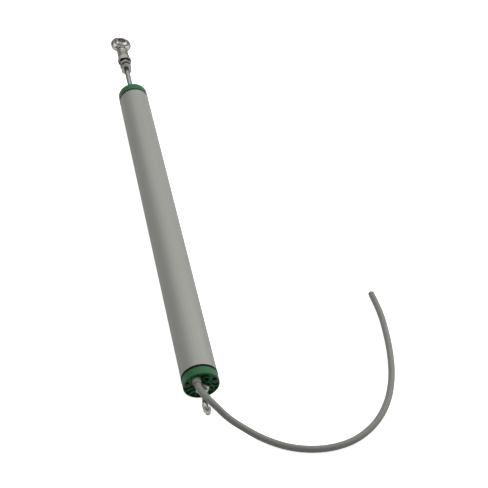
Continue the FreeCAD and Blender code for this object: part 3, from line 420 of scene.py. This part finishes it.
def pressedOut(points):
    # gasket edge pressed out to a thin bead on the surface of tube and cap
    radii, angles = polar(points)
    edge = radii > gasket["edge"] * mm
    bead = around(points, np.where(edge, gasket["bead"] * mm, radii), angles)
    middle = (points[:, 1].min() + points[:, 1].max()) / 2
    bead[:, 1] += np.where(edge, np.sign(points[:, 1] - middle) * gasket["spread"] * mm, 0)
    bead[:, 2] = np.maximum(bead[:, 2], 0)
    return bead


def slimShank(points):
    # shank of the small eye taken down to its thread's root
    radii, angles = polar(points)
    shank = (points[:, 1] / mm > lowerShank["from"]) & (radii < lowerShank["radius"] * mm)
    return around(points, np.where(shank, radii * lowerShank["slim"], radii), angles)


def slimBore(outer):
    # bore drawn in to the slim rod, with the outside kept
    def change(points):
        radii, angles = polar(points)
        drawn = np.interp(radii / mm, (rodEnd["rod"][0], outer), (rodEnd["rod"][1], outer)) * mm
        return around(points, drawn, angles)
    return change


redrawn("control_rod", "slimRod", slimRod, "rod", "stainless")
redrawn("upper_eye_housing", "upperEye", eyeHousing, "rod", "platedWithJointShade")
redrawn("rod_wiper_seal", "wiperSeal", slimBore(rodEnd["sealOutside"]), "case", "rubber")
redrawn("inner_bush", "innerBush", slimBore(rodEnd["bushOutside"]), "case", "bronze")
redrawn("outer_bush", "outerBush", slimBore(rodEnd["bushOutside"]), "case", "bronze")
redrawn("rear_gasket", "rearGasket", pressedOut, "case", "rubber")
redrawn("front_gasket", "frontGasket", pressedOut, "case", "rubber")
redrawn("lower_eye_housing", "lowerEye", slimShank, "case", "plated")
print("rod end drawn in")

# ---- nuts, adapter and threads, worked out as surfaces round the case axis
nuts = {
    "rodLockNut": {"node": "rod_lock_nut", "flats": 12.0, "from": 246.0, "to": 249.6, "bore": 3.0, "turn": 30},
    "eyeLockNut": {"node": "eye_lock_nut", "flats": 12.9, "from": 255.8, "to": 261.6, "bore": 4.0, "turn": 26},
}
adapter = {
    "flats": 12.2, "from": 249.7, "to": 254.0, "turn": 30, "bore": 3.0, "depth": 3.6,
    "stud": 4.0, "end": 273.0, "pitch": 1.25, "threadDepth": 0.6,
}
smallThread = {"crest": 2.5, "root": 2.08, "pitch": 0.8, "from": -304.6, "to": -292.6, "wall": 0.2}
hexagonEnds = {"face": 0.98, "slope": 2.2, "corner": 1.155, "rows": 7}    # corner is 1 / cos 30 degrees
boreGap = 0.02
fineness = {"sides": 144, "threadSides": 48, "rowsPerTurn": 8}


def hexagonRadius(flats, turn, angles):
    # distance from the axis to the side of a hexagon, by angle
    return flats / 2 / np.cos(np.mod(angles - math.radians(turn), math.pi / 3) - math.pi / 6)


def wrapped(name, stations, radii, closed):
    # a surface on a grid of stations along the axis and angles round it; a row of no radius is a pole
    rows, sides = radii.shape
    angles = np.linspace(0, 2 * math.pi, sides, endpoint=False)
    points = np.empty((rows, sides, 3))
    points[:, :, 0] = radii * np.cos(angles)
    points[:, :, 1] = np.asarray(stations)[:, None]
    points[:, :, 2] = radii * np.sin(angles)
    points *= mm
    points[:, :, 2] += axisHeight
    row = np.arange(rows if closed else rows - 1)[:, None]
    side = np.arange(sides)[None, :]
    nextRow, nextSide = (row + 1) % rows, (side + 1) % sides
    faces = np.stack([row * sides + side, row * sides + nextSide, nextRow * sides + nextSide, nextRow * sides + side],
                     axis=-1).reshape(-1, 4)
    shape = bmesh.new()
    mesh = bpy.data.meshes.new(name)
    mesh.from_pydata(points.reshape(-1, 3).tolist(), [], faces.tolist())
    shape.from_mesh(mesh)
    bmesh.ops.remove_doubles(shape, verts=shape.verts, dist=mergeDistance)
    bmesh.ops.dissolve_degenerate(shape, edges=shape.edges, dist=mergeDistance)
    bmesh.ops.recalc_face_normals(shape, faces=shape.faces)
    shape.to_mesh(mesh)
    shape.free()
    piece = bpy.data.objects.new(name, mesh)
    bpy.context.scene.collection.objects.link(piece)
    return piece


def hexagonRows(values, sides):
    # rows of a hexagon bar: at each end the sides are cut back by a flat cone, which draws the arcs on them
    angles = np.linspace(0, 2 * math.pi, sides, endpoint=False)
    full = hexagonRadius(values["flats"], values["turn"], angles)
    half = values["flats"] / 2
    face = half * hexagonEnds["face"]
    depth = np.linspace(0, (half * hexagonEnds["corner"] - face) / hexagonEnds["slope"], hexagonEnds["rows"])
    limits = face + depth * hexagonEnds["slope"]
    stations = np.concatenate([values["from"] + depth, (values["to"] - depth)[::-1]])
    limits = np.concatenate([limits, limits[::-1]])
    return list(stations), [np.minimum(full, limit) for limit in limits]


def threadRows(crest, root, pitch, start, end, sides):
    # rows of a thread: the distance from the axis rises and falls once per pitch, shifted round the axis
    turns = (end - start) / pitch
    stations = np.linspace(start, end, int(turns * fineness["rowsPerTurn"]) + 1)
    angles = np.linspace(0, 2 * math.pi, sides, endpoint=False)
    phase = np.mod(stations[:, None] / pitch - angles[None, :] / (2 * math.pi), 1)
    wave = 1 - np.abs(2 * phase - 1)
    fade = np.clip(np.minimum(stations - start, end - stations) / pitch, 0, 1)[:, None]
    return list(stations), list(root + (crest - root) * wave * fade)


def wear(piece, nodeName, body, finishName):
    # finish and body of a new piece, and the node that it stands for hidden
    dress(piece, finishes[finishName])
    if nodeName:
        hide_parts(nodeName)
    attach(piece, body)


def ring(radius, sides):
    # one row of the same distance from the axis all round
    return np.full(sides, float(radius))


for nutName, values in nuts.items():
    stations, rows = hexagonRows(values, fineness["sides"])
    inside = ring(values["bore"] + boreGap, fineness["sides"])
    piece = wrapped(nutName, stations + [values["to"], values["from"]], np.array(rows + [inside, inside]), True)
    wear(piece, values["node"], "rod", "platedWithJointShade")

sides = fineness["sides"]
stations, rows = hexagonRows(adapter, sides)
threadStations, threadRadii = threadRows(adapter["stud"], adapter["stud"] - adapter["threadDepth"],
                                         adapter["pitch"], adapter["to"], adapter["end"], sides)
floorOfBore = adapter["from"] + adapter["depth"]
inside = ring(adapter["bore"] + boreGap, sides)
pole = ring(0, sides)
stations = [floorOfBore, floorOfBore, adapter["from"]] + stations + threadStations + [adapter["end"]]
rows = [pole, inside, inside] + rows + threadRadii + [pole]
wear(wrapped("eyeAdapter", stations, np.array(rows), False), "eye_adapter", "rod", "platedWithJointShade")

stations, rows = threadRows(smallThread["crest"], smallThread["root"], smallThread["pitch"],
                            smallThread["from"], smallThread["to"], fineness["threadSides"])
inside = ring(smallThread["root"] - smallThread["wall"], fineness["threadSides"])
wear(wrapped("lowerThread", stations + [stations[-1], stations[0]], np.array(rows + [inside, inside]), True),
     None, "case", "plated")
print("nuts and threads on")

# ---- signal cable: one smooth line through the same points as its solid
cable = {
    "exit": (-4.61, -287.5, 26.71),
    "drop": 23.51,
    "diameter": 6.4,
    "length": 376.0,
    "steps": 14,
    "roundness": 6,
    # across, along, and how much of the drop to the surface is left
    "route": [
        (0, 0, 1), (0, -10.6, 1), (5.2, -23.8, 1.1), (12.8, -35.2, 0.98), (21.1, -43.1, 0.665),
        (32.1, -48, 0.28), (49.1, -60.4, 0), (72.1, -76.2, 0), (100.6, -83.6, 0), (129.1, -80.4, 0),
        (153.6, -65.8, 0), (172.1, -43.8, 0), (185.1, -15.8, 0), (193.1, 15.2, 0), (197.6, 46.2, 0),
        (199.8, 72.7, 0), (198.2, 97.2, 0),
    ],
}


def cablePoints(values):
    # exit point plus the route across and along, with the height falling by its share of the drop
    route = np.array(values["route"], float)
    points = np.array(values["exit"], float) + route * (1, 1, 0)
    points[:, 2] += values["drop"] * (route[:, 2] - 1)
    return points * mm


def cableLine(name, points, values):
    # smooth line of one spline, drawn round at the cable's diameter
    curve = bpy.data.curves.new(name, "CURVE")
    curve.dimensions = "3D"
    spline = curve.splines.new("NURBS")
    spline.points.add(len(points) - 1)
    spline.points.foreach_set("co", np.column_stack([points, np.ones(len(points))]).ravel())
    spline.order_u = 3
    spline.use_endpoint_u = True
    spline.resolution_u = values["steps"]
    curve.bevel_depth = values["diameter"] * mm / 2
    curve.bevel_resolution = values["roundness"]
    curve.use_fill_caps = True
    return curve


cablePath = cablePoints(cable)
signalCable = bpy.data.objects.new("signalCable", cableLine("signalCable", cablePath, cable))
bpy.context.scene.collection.objects.link(signalCable)
signalCable.data.materials.append(finishes["sheath"])
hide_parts("signal_cable")
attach(signalCable, "case")
print("cable laid")

bpy.context.view_layer.update()
